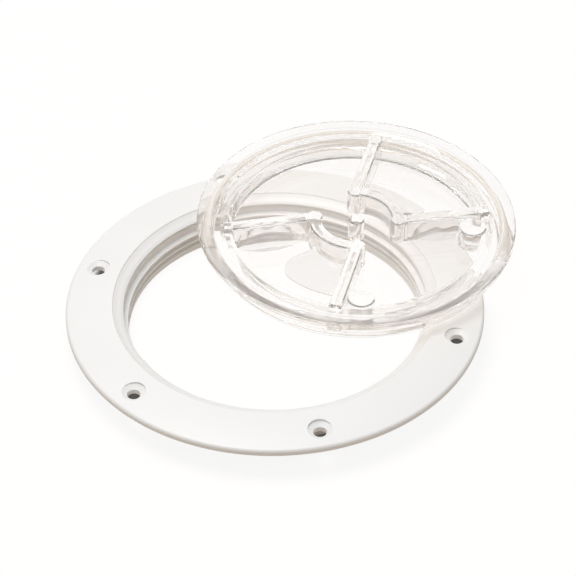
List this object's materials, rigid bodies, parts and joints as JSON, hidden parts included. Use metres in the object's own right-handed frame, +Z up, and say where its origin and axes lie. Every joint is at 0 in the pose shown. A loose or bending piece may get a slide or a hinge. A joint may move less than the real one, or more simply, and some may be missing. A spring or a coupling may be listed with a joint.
{
  "type": "deck inspection plate",
  "caption": "Round screw-down deck inspection plate: a white flange ring with countersunk holes and its clear screw-in lid with a moulded finger grip, laid across the ring.",
  "frame": {"origin": "on the ring's axis, in the plane of the flange's underside, which lies on the deck", "axes": "+Z up along the ring's axis, out of the deck; the collar points to -Z; +X to the right and -Y to the front, as the picture shows it"},
  "size_m": [0.1826, 0.1821, 0.0316],
  "materials": {
    "ring_plastic": "satin moulded",
    "lid_plastic": "clear, glossy, moulded plastic",
    "seal_rubber": "pale, soft"
  },
  "bodies": {
    "root": {"flange_ring": "ring_plastic", "inspection_lid": "lid_plastic", "lid_seal": "seal_rubber"}
  },
  "joints": []
}
